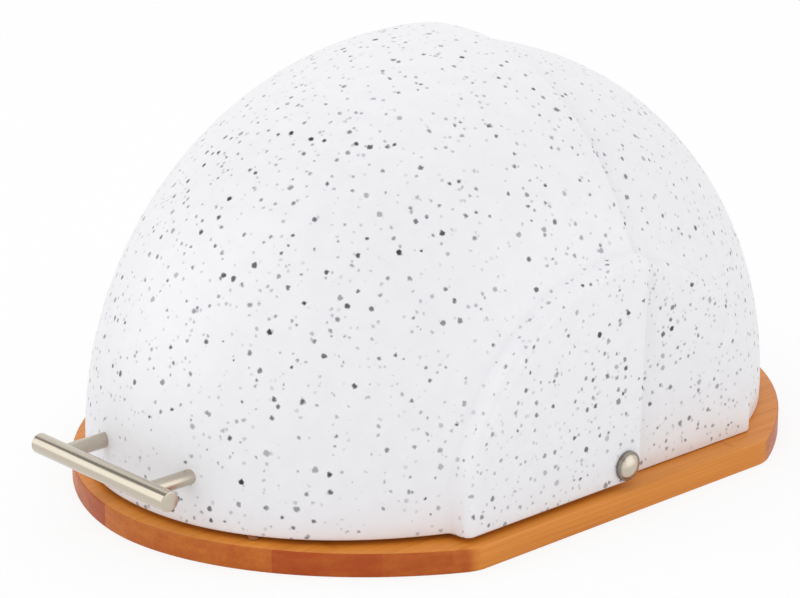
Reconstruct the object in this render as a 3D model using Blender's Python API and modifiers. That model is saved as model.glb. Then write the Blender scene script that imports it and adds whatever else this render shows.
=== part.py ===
"""Roll-top bread box: a domed sheet-metal lid that turns back over a fixed rear shell, on a bamboo board.

X runs along the hinge axis, the handle is at -Y and Z is up. The origin lies on the board's underside,
straight below the hinge axis. All lengths are in metres.
"""

from math import asin, cos, pi, radians, sin, sqrt

import bmesh
import bpy

# Board
BOARD_THICKNESS = 0.012
BOARD_FRONT_MARGIN = 0.008
BOARD_REAR_MARGIN = 0.0083
BOARD_SIDE_MARGIN = 0.0053
BOARD_SIDE_LENGTH = 0.2
BOARD_EDGE = 0.0008
BOARD_CORNER = 0.005

# Lid, the outer of the two shells
LID_RADIUS = 0.193
LID_HALF_WIDTH = 0.144
LID_BOSS_RADIUS = 0.1055
LID_BOSS_RISE = 0.0107
LID_BEND = 0.004
LID_FOOT_GAP = 0.0026
LID_HEM_WIDTH = 0.005

# Both shells
SHELL_AXIS_DROP = 0.0025
SHEET = 0.001
BOSS_DRAFT = 0.001

# Rear shell, which nests inside the lid
NEST_STEP = 0.0078
NEST_SIDE_STEP = 0.004
NEST_BOSS_STEP = 0.0045
REAR_OVERLAP = 0.018
REAR_FLANGE_WIDTH = 0.014

# Pivots
PIVOT_CLEARANCE = 0.002
PIVOT_SCREW_RADIUS = 0.003
PIVOT_HEAD_RADIUS = 0.0075
PIVOT_HEAD_HEIGHT = 0.0042
PIVOT_HEAD_RIM = 0.0007
PIVOT_SPACER_LENGTH = 0.0074
PIVOT_SPACER_RADIUS = 0.007
PIVOT_WASHER_THICKNESS = 0.0012
PIVOT_WASHER_RADIUS = 0.008
PIVOT_NUT_THICKNESS = 0.005
PIVOT_NUT_RADIUS = 0.0058
PIVOT_SCREW_SPARE = 0.002

# Handle
HANDLE_LENGTH = 0.1
HANDLE_RADIUS = 0.005
HANDLE_EDGE = 0.0006
HANDLE_RISE = 0.0239
HANDLE_STANDOFF = 0.0254
HANDLE_PITCH = 0.064
HANDLE_POST_RADIUS = 0.00375
HANDLE_SCREW_RADIUS = 0.0015
HANDLE_SCREW_DEPTH = 0.009
HANDLE_SCREW_HEAD_RADIUS = 0.0032
HANDLE_SCREW_HEAD_HEIGHT = 0.0024
HANDLE_WASHER_RADIUS = 0.005
HANDLE_WASHER_EDGE = 0.0012

# Screws that hold the rear shell to the board
SHELL_SCREW_RADIUS = 0.0018
SHELL_SCREW_DEPTH = 0.0085
SHELL_SCREW_HEAD_RADIUS = 0.0036
SHELL_SCREW_HEAD_HEIGHT = 0.0022
SIDE_SCREW_Y = 0.036
REAR_SCREW_X = 0.062

# Bumpers that the closed lid comes down on
BUMPER_RADIUS = 0.003
BUMPER_X = 0.06

# Clearances, and how near two points are one
GAP = 0.0003
OVERRUN = 0.006
MERGE_DISTANCE = 0.00001

# Shape numbers without a unit
DOME_EXPONENT = 2.1
BOARD_EXPONENT = 1.9
LID_LEAN = radians(2)
SHARP_ANGLE = radians(40)

# Facets
TURN_STEPS = 72
DOME_STEPS = 12
BEND_STEPS = 3
BOARD_STEPS = 20
CORNER_STEPS = 6
HEAD_STEPS = 4
ROUND_SIDES = 24
NUT_SIDES = 6

# Places that follow from the sizes above
REAR_RADIUS = LID_RADIUS - NEST_STEP
REAR_HALF_WIDTH = LID_HALF_WIDTH - NEST_SIDE_STEP
REAR_BOSS_RADIUS = LID_BOSS_RADIUS - NEST_BOSS_STEP
LID_BOSS_SHARE = (1 - (LID_BOSS_RADIUS / LID_RADIUS) ** DOME_EXPONENT) ** (1 / DOME_EXPONENT)
LID_FACE_X = LID_HALF_WIDTH * LID_BOSS_SHARE + LID_BOSS_RISE
REAR_FACE_X = LID_FACE_X - SHEET - PIVOT_SPACER_LENGTH - 2 * GAP
BOARD_FRONT = LID_RADIUS + BOARD_FRONT_MARGIN
BOARD_REAR = REAR_RADIUS + BOARD_REAR_MARGIN
BOARD_WIDTH = 2 * (LID_FACE_X + BOARD_SIDE_MARGIN)
LID_FOOT = BOARD_THICKNESS + LID_FOOT_GAP
REAR_FOOT = BOARD_THICKNESS + GAP
FLANGE_TOP = REAR_FOOT + SHEET
PIVOT_HEIGHT = FLANGE_TOP + PIVOT_CLEARANCE + PIVOT_WASHER_RADIUS
SHELL_AXIS_HEIGHT = PIVOT_HEIGHT - SHELL_AXIS_DROP
SHELL_TOP = SHELL_AXIS_HEIGHT + LID_RADIUS + OVERRUN
HANDLE_HEIGHT = LID_FOOT + HANDLE_RISE
HINGE = (0, 0, PIVOT_HEIGHT)
SHELL_AXIS = (0, 0, SHELL_AXIS_HEIGHT)
ALONG_X = (0, pi / 2, 0)
ALONG_Y = (-pi / 2, 0, 0)
ACROSS_X = (pi / 2, 0, pi / 2)
UPRIGHT = (0, 0, 0)
SIDES = (("left", -1), ("right", 1))


def clear_scene():
    """Removes the objects that a new scene starts with."""
    for item in list(bpy.data.objects):
        bpy.data.objects.remove(item, do_unlink=True)


def make_collection(name):
    """Adds a collection to the scene."""
    group = bpy.data.collections.new(name)
    bpy.context.scene.collection.children.link(group)
    return group


def make_material(name, colour, roughness, metallic=0.0):
    """Makes a Principled material from a linear colour."""
    material = bpy.data.materials.new(name)
    material.use_nodes = True
    shader = material.node_tree.nodes["Principled BSDF"]
    shader.inputs["Base Color"].default_value = (*colour, 1)
    shader.inputs["Roughness"].default_value = roughness
    shader.inputs["Metallic"].default_value = metallic
    return material


def add_object(name, mesh, place, turn=UPRIGHT):
    """Puts a mesh in the scene as a cutter until finish() makes it a part."""
    item = bpy.data.objects.new(name, mesh)
    item.location = place
    item.rotation_euler = turn
    item.hide_render = True
    item.display_type = "WIRE"
    cutters.objects.link(item)
    return item


def finish(item, material, parent=None):
    """Turns a drawn object into a part, on its parent if it has one."""
    cutters.objects.unlink(item)
    parts.objects.link(item)
    item.hide_render = False
    item.display_type = "TEXTURED"
    item.data.materials.append(material)
    if parent:
        item.parent = parent
        item.location = item.location - parent.location
    return item


def boolean(item, other, operation="DIFFERENCE"):
    """Cuts an object with another, or keeps what both share."""
    modifier = item.modifiers.new(other.name, "BOOLEAN")
    modifier.operation = operation
    modifier.object = other
    modifier.solver = "EXACT"


def turned(name, profile, steps, place, turn=UPRIGHT):
    """Turns a profile of (radius, height) points, given from top to bottom, round the local Z axis."""
    mesh = bpy.data.meshes.new(name)
    points = [(radius, 0, height) for radius, height in profile]
    edges = [(index, index + 1) for index in range(len(points) - 1)]
    mesh.from_pydata(points, edges, [])
    item = add_object(name, mesh, place, turn)
    screw = item.modifiers.new("Turn", "SCREW")
    screw.axis = "Z"
    screw.steps = steps
    screw.render_steps = steps
    screw.use_merge_vertices = True
    screw.merge_threshold = MERGE_DISTANCE
    screw.use_smooth_shade = True
    return item


def cylinder(name, radius, length, place, turn=UPRIGHT, sides=ROUND_SIDES):
    """Makes a closed cylinder centred on its place, along its local Z axis."""
    mesh = bpy.data.meshes.new(name)
    shape = bmesh.new()
    bmesh.ops.create_cone(
        shape, cap_ends=True, segments=sides, radius1=radius, radius2=radius, depth=length
    )
    shape.to_mesh(mesh)
    shape.free()
    mesh.shade_smooth()
    mesh.set_sharp_from_angle(angle=SHARP_ANGLE)
    return add_object(name, mesh, place, turn)


def block(name, low, high):
    """Makes a box between two corners."""
    mesh = bpy.data.meshes.new(name)
    shape = bmesh.new()
    bmesh.ops.create_cube(shape, size=1)
    size = [top - bottom for bottom, top in zip(low, high)]
    bmesh.ops.scale(shape, vec=size, verts=shape.verts)
    shape.to_mesh(mesh)
    shape.free()
    centre = [(bottom + top) / 2 for bottom, top in zip(low, high)]
    return add_object(name, mesh, centre)


def plate(name, outline, thickness, place, turn=UPRIGHT):
    """Extrudes a flat outline, centred on its place, along its local Z axis."""
    curve = bpy.data.curves.new(name, "CURVE")
    curve.dimensions = "2D"
    curve.fill_mode = "BOTH"
    curve.extrude = thickness / 2
    line = curve.splines.new("POLY")
    line.points.add(len(outline) - 1)
    for point, (across, along) in zip(line.points, outline):
        point.co = (across, along, 0, 1)
    line.use_cyclic_u = True
    guide = add_object(f"{name}_outline", curve, place, turn)
    bpy.context.view_layer.update()
    solid = guide.evaluated_get(bpy.context.evaluated_depsgraph_get())
    mesh = bpy.data.meshes.new_from_object(solid)
    mesh.name = name
    bpy.data.objects.remove(guide, do_unlink=True)
    shape = bmesh.new()
    shape.from_mesh(mesh)
    bmesh.ops.remove_doubles(shape, verts=shape.verts, dist=MERGE_DISTANCE)
    bmesh.ops.recalc_face_normals(shape, faces=shape.faces)
    shape.to_mesh(mesh)
    shape.free()
    return add_object(name, mesh, place, turn)


def bevel(item, width, segments):
    """Rounds the sharp edges of an object."""
    modifier = item.modifiers.new("Edge", "BEVEL")
    modifier.width = width
    modifier.segments = segments
    modifier.limit_method = "ANGLE"
    modifier.angle_limit = SHARP_ANGLE


def dome_radius(radius, half_width, x):
    """Gives the dome's radius about its axis at a distance x from its middle."""
    return radius * (1 - (abs(x) / half_width) ** DOME_EXPONENT) ** (1 / DOME_EXPONENT)


def lid_depth(x, height, inset):
    """Gives how far in front of its axis the lid lies at a place on its dome, moved in by inset."""
    radius = dome_radius(LID_RADIUS - inset, LID_HALF_WIDTH - inset, x)
    return sqrt(radius**2 - (height - SHELL_AXIS_HEIGHT) ** 2)


def shell_profile(radius, half_width, face, boss_radius, inset=0.0):
    """Draws a shell's section from one flat side panel, over the raised boss and the dome, to the other.

    The whole section is moved in by inset, which gives the sheet's inner side and what fits inside it.
    """
    rim = boss_radius - inset
    flat = face - inset
    bend = max(LID_BEND - inset, 0)
    half = [(0, flat)]
    if bend:
        for step in range(BEND_STEPS):
            angle = pi / 2 * step / BEND_STEPS
            half.append((rim - bend + bend * sin(angle), flat - bend + bend * cos(angle)))
    half.append((rim, flat - bend))
    power = 2 / DOME_EXPONENT
    crease = asin(((rim + BOSS_DRAFT) / (radius - inset)) ** (1 / power))
    for step in range(DOME_STEPS):
        angle = crease + (pi / 2 - crease) * step / DOME_STEPS
        half.append(((radius - inset) * sin(angle) ** power, (half_width - inset) * cos(angle) ** power))
    other_half = [(across, -height) for across, height in reversed(half)]
    return [*half, (radius - inset, 0), *other_half]


def lid_form(name, inset):
    """Turns the lid's solid form about the shells' axis."""
    section = shell_profile(LID_RADIUS, LID_HALF_WIDTH, LID_FACE_X, LID_BOSS_RADIUS, inset)
    return turned(name, section, TURN_STEPS, SHELL_AXIS, ALONG_X)


def rear_form(name, inset):
    """Turns the rear shell's solid form about the shells' axis."""
    section = shell_profile(REAR_RADIUS, REAR_HALF_WIDTH, REAR_FACE_X, REAR_BOSS_RADIUS, inset)
    return turned(name, section, TURN_STEPS, SHELL_AXIS, ALONG_X)


def lid_side_outline():
    """Draws what the lid keeps, seen from the side: it ends in a round under the pivot and leans back."""
    round_radius = PIVOT_HEIGHT - LID_FOOT
    front = -LID_RADIUS - OVERRUN
    outline = [(front, LID_FOOT)]
    for step in range(CORNER_STEPS + 1):
        angle = (pi / 2 - LID_LEAN) * step / CORNER_STEPS
        outline.append((round_radius * sin(angle), PIVOT_HEIGHT - round_radius * cos(angle)))
    last_y, last_z = outline[-1]
    rise = SHELL_TOP - last_z
    outline.append((last_y + rise * sin(LID_LEAN) / cos(LID_LEAN), SHELL_TOP))
    outline.append((front, SHELL_TOP))
    return outline


def rounded(start, corner, end):
    """Draws the curve that leaves start towards the corner and reaches end from it."""
    points = []
    for step in range(CORNER_STEPS + 1):
        share = step / CORNER_STEPS
        weights = ((1 - share) ** 2, 2 * share * (1 - share), share**2)
        across = sum(weight * point[0] for weight, point in zip(weights, (start, corner, end)))
        along = sum(weight * point[1] for weight, point in zip(weights, (start, corner, end)))
        points.append((across, along))
    return points


def board_outline():
    """Draws the board: two straight sides, round corners and ends that bulge as part of a superellipse."""
    half_length = (BOARD_FRONT + BOARD_REAR) / 2
    half_width = BOARD_WIDTH / 2
    side_share = BOARD_SIDE_LENGTH / (BOARD_FRONT + BOARD_REAR)
    # The bulge's own half width, which puts the ends of the straight sides on the curve.
    bulge = half_width / (1 - side_share**BOARD_EXPONENT) ** (1 / BOARD_EXPONENT)
    curve = []
    for step in range(BOARD_STEPS + 1):
        across = (half_width - BOARD_CORNER) * sin(pi / 2 * (2 * step / BOARD_STEPS - 1))
        along = half_length * (1 - abs(across / bulge) ** BOARD_EXPONENT) ** (1 / BOARD_EXPONENT)
        curve.append((across, along))
    corner = (half_width, BOARD_SIDE_LENGTH / 2)
    right_round = rounded(curve[-1], corner, (corner[0], corner[1] - BOARD_CORNER))
    left_round = [(-across, along) for across, along in reversed(right_round)]
    rear_end = left_round + curve[1:-1] + right_round
    return [(end * across, -end * along) for end in (1, -1) for across, along in rear_end]


def screw_profile(head_radius, head_height, shank_radius, shank_length, rim):
    """Draws a screw with a domed head, from the top of the head to the end of the shank."""
    profile = []
    for step in range(HEAD_STEPS + 1):
        angle = pi / 2 * step / HEAD_STEPS
        profile.append((head_radius * sin(angle), rim + (head_height - rim) * cos(angle)))
    profile += [(head_radius, 0), (shank_radius, 0), (shank_radius, -shank_length), (0, -shank_length)]
    return profile


def make_board(bores):
    """Makes the board with its pilot holes."""
    middle = (0, (BOARD_REAR - BOARD_FRONT) / 2, BOARD_THICKNESS / 2)
    board = plate("board", board_outline(), BOARD_THICKNESS, middle)
    bevel(board, BOARD_EDGE, 2)
    for bore in bores:
        boolean(board, bore)
    finish(board, bamboo)


def make_rear_shell(bores, pivot_bore):
    """Makes the rear shell, with the flange turned in along its foot."""
    reach = LID_RADIUS + OVERRUN
    shell = rear_form("rear_shell", 0)
    kept = block("rear_kept", (-reach, -REAR_OVERLAP, REAR_FOOT), (reach, reach, SHELL_TOP))
    inside = rear_form("rear_inside", SHEET)
    above = block("above_flange", (-reach, -reach, FLANGE_TOP), (reach, reach, SHELL_TOP))
    mouth = rear_form("rear_mouth", REAR_FLANGE_WIDTH)
    boolean(inside, above, "INTERSECT")
    boolean(shell, kept, "INTERSECT")
    boolean(shell, inside)
    boolean(shell, mouth)
    boolean(shell, pivot_bore)
    for bore in bores:
        boolean(shell, bore)
    finish(shell, coated_steel)


def make_lid(hinge, pivot_bore, handle_bores):
    """Makes the lid, with the hem turned in along its foot."""
    reach = LID_RADIUS + OVERRUN
    lid = lid_form("front_lid", 0)
    kept = plate("lid_kept", lid_side_outline(), 2 * reach, (0, 0, 0), ACROSS_X)
    inside = lid_form("lid_inside", SHEET)
    above = block("above_hem", (-reach, -reach, LID_FOOT + SHEET), (reach, reach, SHELL_TOP))
    mouth = lid_form("lid_mouth", LID_HEM_WIDTH)
    boolean(inside, above, "INTERSECT")
    boolean(lid, kept, "INTERSECT")
    boolean(lid, inside)
    boolean(lid, mouth)
    boolean(lid, pivot_bore)
    for bore in handle_bores:
        boolean(lid, bore)
    finish(lid, coated_steel, hinge)


def make_pivots(pivot_bore):
    """Makes the screw, spacer, washer and nut of each pivot, from the outside in."""
    for side, sign in SIDES:
        outward = (0, sign * pi / 2, 0)
        face = LID_FACE_X + GAP
        spacer_x = LID_FACE_X - SHEET - GAP - PIVOT_SPACER_LENGTH / 2
        washer_x = REAR_FACE_X - SHEET - GAP - PIVOT_WASHER_THICKNESS / 2
        nut_x = washer_x - PIVOT_WASHER_THICKNESS / 2 - GAP - PIVOT_NUT_THICKNESS / 2
        shank = face - nut_x + PIVOT_NUT_THICKNESS / 2 + PIVOT_SCREW_SPARE
        head = screw_profile(
            PIVOT_HEAD_RADIUS, PIVOT_HEAD_HEIGHT, PIVOT_SCREW_RADIUS, shank, PIVOT_HEAD_RIM
        )
        screw = turned(
            f"pivot_screw_{side}", head, ROUND_SIDES, (sign * face, 0, PIVOT_HEIGHT), outward
        )
        finish(screw, satin_metal)
        spacer = cylinder(
            f"pivot_spacer_{side}",
            PIVOT_SPACER_RADIUS,
            PIVOT_SPACER_LENGTH,
            (sign * spacer_x, 0, PIVOT_HEIGHT),
            outward,
        )
        washer = cylinder(
            f"pivot_washer_{side}",
            PIVOT_WASHER_RADIUS,
            PIVOT_WASHER_THICKNESS,
            (sign * washer_x, 0, PIVOT_HEIGHT),
            outward,
        )
        nut = cylinder(
            f"pivot_nut_{side}",
            PIVOT_NUT_RADIUS,
            PIVOT_NUT_THICKNESS,
            (sign * nut_x, 0, PIVOT_HEIGHT),
            outward,
            NUT_SIDES,
        )
        for item, material in ((spacer, nylon), (washer, zinc), (nut, zinc)):
            boolean(item, pivot_bore)
            finish(item, material)


def make_handle(hinge, handle_bores):
    """Makes the bar, its two posts, and the screws that hold the posts from inside the lid."""
    outside = lid_depth(HANDLE_PITCH / 2, HANDLE_HEIGHT, 0)
    reach = outside + HANDLE_STANDOFF
    bar_place = (0, -reach, HANDLE_HEIGHT)
    bar = cylinder("handle_bar", HANDLE_RADIUS, HANDLE_LENGTH, bar_place, ALONG_X)
    bevel(bar, HANDLE_EDGE, 2)
    finish(bar, satin_metal, hinge)
    bar_seat = cylinder("bar_seat", HANDLE_RADIUS + GAP, HANDLE_LENGTH, bar_place, ALONG_X)
    lid_seat = lid_form("lid_seat", -GAP)
    washer_form = lid_form("washer_form", SHEET + GAP)
    for (side, sign), bore in zip(SIDES, handle_bores):
        x = sign * HANDLE_PITCH / 2
        far_x = HANDLE_PITCH / 2 + HANDLE_WASHER_RADIUS
        seat = lid_depth(far_x, HANDLE_HEIGHT + HANDLE_WASHER_RADIUS, SHEET + GAP) - HANDLE_WASHER_EDGE
        post_length = reach - seat
        post = cylinder(
            f"handle_post_{side}",
            HANDLE_POST_RADIUS,
            post_length,
            (x, -reach + post_length / 2, HANDLE_HEIGHT),
            ALONG_Y,
        )
        boolean(post, bar_seat)
        boolean(post, lid_seat)
        boolean(post, bore)
        finish(post, satin_metal, hinge)
        washer = cylinder(
            f"handle_washer_{side}",
            HANDLE_WASHER_RADIUS,
            post_length,
            (x, -seat - post_length / 2, HANDLE_HEIGHT),
            ALONG_Y,
        )
        boolean(washer, washer_form, "INTERSECT")
        boolean(washer, bore)
        finish(washer, nylon, hinge)
        head_y = seat - GAP
        profile = screw_profile(
            HANDLE_SCREW_HEAD_RADIUS,
            HANDLE_SCREW_HEAD_HEIGHT,
            HANDLE_SCREW_RADIUS,
            outside + HANDLE_SCREW_DEPTH - GAP - head_y,
            GAP,
        )
        screw = turned(
            f"handle_screw_{side}", profile, ROUND_SIDES, (x, -head_y, HANDLE_HEIGHT), ALONG_Y
        )
        finish(screw, zinc, hinge)


def make_handle_bores():
    """Makes the cutter of each handle screw, which ends blind in the post."""
    bores = []
    depth = lid_depth(HANDLE_PITCH / 2, HANDLE_HEIGHT, 0) + HANDLE_SCREW_DEPTH
    length = depth - REAR_RADIUS + REAR_FLANGE_WIDTH
    for side, sign in SIDES:
        place = (sign * HANDLE_PITCH / 2, -depth + length / 2, HANDLE_HEIGHT)
        bores.append(cylinder(f"handle_bore_{side}", HANDLE_SCREW_RADIUS + GAP, length, place, ALONG_Y))
    return bores


def shell_screw_places():
    """Gives where the screws stand, along the middle of the flange."""
    inset = (REAR_FLANGE_WIDTH + SHEET) / 2
    side_x = REAR_FACE_X - inset
    radius = dome_radius(REAR_RADIUS - inset, REAR_HALF_WIDTH - inset, REAR_SCREW_X)
    rear_y = sqrt(radius**2 - (SHELL_AXIS_HEIGHT - REAR_FOOT) ** 2)
    return [
        (-side_x, SIDE_SCREW_Y),
        (side_x, SIDE_SCREW_Y),
        (-REAR_SCREW_X, rear_y),
        (REAR_SCREW_X, rear_y),
    ]


def make_shell_screws():
    """Makes the screws that hold the rear shell, and the cutters of their holes."""
    bores = []
    shank = FLANGE_TOP + GAP - BOARD_THICKNESS + SHELL_SCREW_DEPTH
    bore_length = SHELL_SCREW_DEPTH + GAP + OVERRUN
    bore_z = BOARD_THICKNESS - SHELL_SCREW_DEPTH - GAP + bore_length / 2
    profile = screw_profile(
        SHELL_SCREW_HEAD_RADIUS, SHELL_SCREW_HEAD_HEIGHT, SHELL_SCREW_RADIUS, shank, GAP
    )
    for number, (x, y) in enumerate(shell_screw_places(), 1):
        screw = turned(f"shell_screw_{number}", profile, ROUND_SIDES, (x, y, FLANGE_TOP + GAP))
        finish(screw, zinc)
        radius = SHELL_SCREW_RADIUS + GAP
        bores.append(cylinder(f"shell_bore_{number}", radius, bore_length, (x, y, bore_z)))
    return bores


def make_bumpers():
    """Makes the two soft bumpers on the board under the lid's hem."""
    height = LID_FOOT_GAP - 2 * GAP
    y = -lid_depth(BUMPER_X, LID_FOOT, SHEET + BUMPER_RADIUS)
    for side, sign in SIDES:
        place = (sign * BUMPER_X, y, BOARD_THICKNESS + GAP + height / 2)
        finish(cylinder(f"bumper_{side}", BUMPER_RADIUS, height, place), silicone)


clear_scene()
parts = make_collection("bread_box")
cutters = make_collection("cutters")

bamboo = make_material("bamboo", (0.48, 0.20, 0.048), 0.45)
coated_steel = make_material("speckled_coated_steel", (0.83, 0.83, 0.85), 0.42)
satin_metal = make_material("satin_nickel", (0.60, 0.56, 0.50), 0.32, 1.0)
zinc = make_material("zinc_plated_steel", (0.55, 0.56, 0.58), 0.35, 1.0)
nylon = make_material("white_nylon", (0.72, 0.72, 0.70), 0.5)
silicone = make_material("clear_silicone", (0.62, 0.63, 0.62), 0.55)

hinge_empty = bpy.data.objects.new("lid_hinge", None)
hinge_empty.location = HINGE
parts.objects.link(hinge_empty)

bore_through = cylinder(
    "pivot_bore",
    PIVOT_SCREW_RADIUS + GAP,
    2 * (LID_HALF_WIDTH + OVERRUN),
    HINGE,
    ALONG_X,
)
screw_bores = make_shell_screws()
handle_screw_bores = make_handle_bores()

make_board(screw_bores)
make_rear_shell(screw_bores, bore_through)
make_lid(hinge_empty, bore_through, handle_screw_bores)
make_pivots(bore_through)
make_handle(hinge_empty, handle_screw_bores)
make_bumpers()
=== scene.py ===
"""Looks of a domed roll-top bread box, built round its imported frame.

X runs along the hinge, the handle is at -Y and Z is up. Lengths are in metres, and those of the finishes'
patterns in millimetres.
"""

import logging
from collections.abc import Sequence
from dataclasses import dataclass
from enum import Enum
from math import acos, atan2, copysign, cos, pi, radians, sin, sqrt

import bmesh
import bpy
from mathutils import Matrix, Vector


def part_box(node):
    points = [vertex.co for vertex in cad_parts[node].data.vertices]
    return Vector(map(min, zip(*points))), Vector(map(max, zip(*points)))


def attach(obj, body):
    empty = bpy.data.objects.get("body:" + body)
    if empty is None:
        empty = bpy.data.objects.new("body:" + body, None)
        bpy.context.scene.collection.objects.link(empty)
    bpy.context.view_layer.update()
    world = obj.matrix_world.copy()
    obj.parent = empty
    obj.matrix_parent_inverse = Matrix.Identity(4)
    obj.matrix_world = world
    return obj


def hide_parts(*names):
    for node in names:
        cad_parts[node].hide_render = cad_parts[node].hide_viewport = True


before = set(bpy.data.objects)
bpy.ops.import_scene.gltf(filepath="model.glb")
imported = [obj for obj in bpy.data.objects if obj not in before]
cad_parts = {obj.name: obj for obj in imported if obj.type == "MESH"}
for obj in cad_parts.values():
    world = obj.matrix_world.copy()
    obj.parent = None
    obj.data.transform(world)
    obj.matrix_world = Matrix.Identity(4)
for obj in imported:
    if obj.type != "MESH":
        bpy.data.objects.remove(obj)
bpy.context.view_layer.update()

LOG = logging.getLogger("bread_box")

MM_PER_M = 1000
MERGE = 1e-6
ROUND = 0.5
SHARP = radians(38)
SIDES = (("left", -1), ("right", 1))
SHELL_SCREWS = tuple(f"shell_screw_{number}" for number in range(1, 5))
PIVOT_HEIGHT = 0.0233
PAST_HEAD = 0.004
BORE_STEPS = 40
ALONG_X = Vector((1, 0, 0))
ALONG_Y = Vector((0, 1, 0))
ALONG_Z = Vector((0, 0, 1))
WHITE = (1.0, 1.0, 1.0, 1.0)
NICKEL = "C6BCAD"

# Between these two values lies most of what a noise texture gives.
NOISE_ENDS = (0.3, 0.7)

Pair = tuple[float, float]
Point = tuple[float, float, float]
Colour = tuple[float, float, float, float]
Shape = bmesh.types.BMesh
Item = bpy.types.Object
Node = bpy.types.Node
Socket = bpy.types.NodeSocket
Value = Socket | float | Sequence[float]


def linear(code: str) -> Colour:
    """Turns an sRGB hex value into a linear colour.

    Args:
        code: Six hex digits.

    Returns:
        Red, green, blue and an alpha of 1.
    """
    shares = [int(code[at : at + 2], 16) / 255 for at in (0, 2, 4)]
    red, green, blue = (s / 12.92 if s <= 0.04045 else ((s + 0.055) / 1.055) ** 2.4 for s in shares)
    return red, green, blue, 1.0


class Graph:
    """A shader tree, with short ways to add and link the nodes that the finishes need."""

    def __init__(self, owner: bpy.types.Material | bpy.types.World) -> None:
        """Turns the owner's nodes on and takes its tree."""
        owner.use_nodes = True
        self.tree = owner.node_tree

    def add(self, kind: str, inputs: dict | None = None, **settings: object) -> Node:
        """Adds a node with its settings, values and links.

        Args:
            kind: The node's type, without the words that all types start with.
            inputs: A value, or an output to link, for each input by its name or number.
            settings: The node's own settings.

        Returns:
            The new node.
        """
        node = self.tree.nodes.new(f"ShaderNode{kind}")
        for name, value in settings.items():
            setattr(node, name, value)
        for key, value in (inputs or {}).items():
            if isinstance(value, Socket):
                self.tree.links.new(value, node.inputs[key])
            else:
                node.inputs[key].default_value = value
        return node

    def link(self, value: Socket, node: Node, name: str) -> None:
        """Links an output to a node's input."""
        self.tree.links.new(value, node.inputs[name])

    def math(self, operation: str, *values: Value) -> Socket:
        """Adds a step of arithmetic and gives its result."""
        return self.add("Math", dict(enumerate(values)), operation=operation).outputs[0]

    def vector(self, operation: str, *values: Value) -> Socket:
        """Adds a step of vector arithmetic and gives its vector."""
        return self.add("VectorMath", dict(enumerate(values)), operation=operation).outputs["Vector"]

    def noise(
        self, place: Socket, size_mm: float | Point, detail: float, rough: float = 0.5
    ) -> Node:
        """Adds noise, whose grains have one size or a size along each axis."""
        sizes = size_mm if isinstance(size_mm, tuple) else (size_mm,) * 3
        spot = self.vector("MULTIPLY", place, tuple(1 / size for size in sizes))
        inputs = {"Vector": spot, "Scale": 1.0, "Detail": detail, "Roughness": rough}
        return self.add("TexNoise", inputs)

    def ramp(
        self, value: Socket, ends: Pair = (0.0, 1.0), results: Pair = (0.0, 1.0), smooth: bool = False
    ) -> Socket:
        """Maps the two ends of a value to two results, and holds it between them.

        Args:
            value: What is mapped.
            ends: Where the map starts and ends.
            results: What it gives there.
            smooth: Whether it starts and ends softly.

        Returns:
            The mapped value.
        """
        inputs = {"Value": value, "From Min": ends[0], "From Max": ends[1]}
        inputs |= {"To Min": results[0], "To Max": results[1]}
        kind = "SMOOTHSTEP" if smooth else "LINEAR"
        return self.add("MapRange", inputs, interpolation_type=kind).outputs["Result"]

    def mix(self, share: Socket, under: Value, over: Value) -> Socket:
        """Lays one colour over another by a share."""
        return self.add("Mix", {0: share, 6: under, 7: over}, data_type="RGBA").outputs[2]

    def sum_of(self, start: float, values: Sequence[Socket], shares: Sequence[float]) -> Socket:
        """Adds a share of each value to a start, and holds the sum between 0 and 1."""
        total: Value = start
        for value, share in zip(values, shares):
            total = self.math("MULTIPLY_ADD", value, share, total)
        return self.add("Clamp", {"Value": total}).outputs["Result"]

    def bump(self, shader: Node, height: Socket, depth_mm: float) -> None:
        """Lets a height from 0 to 1 stand out of the surface by depth_mm."""
        inputs = {"Height": height, "Distance": depth_mm / MM_PER_M, "Strength": 1.0}
        self.link(self.add("Bump", inputs).outputs["Normal"], shader, "Normal")


@dataclass(frozen=True)
class Finish:
    """What every surface here shares: a colour and how it throws light back.

    The name is the finish's own, and slot is the name of its kind of material.
    """

    name: str
    slot: str
    colour: str
    roughness: float
    metallic: float = 0.0
    ior: float = 1.5

    def material(self) -> bpy.types.Material:
        """Makes the material, or gives the one made before.

        Returns:
            A material with a Principled shader and this finish's pattern.
        """
        made = bpy.data.materials.get(self.name)
        if made:
            return made
        made = bpy.data.materials.new(self.name)
        graph = Graph(made)
        shader = graph.tree.nodes["Principled BSDF"]
        shader.inputs["Base Color"].default_value = linear(self.colour)
        shader.inputs["Roughness"].default_value = self.roughness
        shader.inputs["Metallic"].default_value = self.metallic
        shader.inputs["IOR"].default_value = self.ior
        place = graph.add("TexCoord").outputs["Object"]
        self.pattern(graph, shader, graph.vector("MULTIPLY", place, (MM_PER_M,) * 3))
        return made

    def pattern(self, graph: Graph, shader: Node, place: Socket) -> None:
        """Adds what varies over the surface with the place on the object in millimetres."""
        raise NotImplementedError


@dataclass(frozen=True)
class Speckles:
    """One kind of fleck in the coating: how far apart, how large and how strong."""

    spacing_mm: float
    least_mm: float
    most_mm: float
    present_share: float
    colour: str
    faintest_share: float
    shift_mm: float


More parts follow.
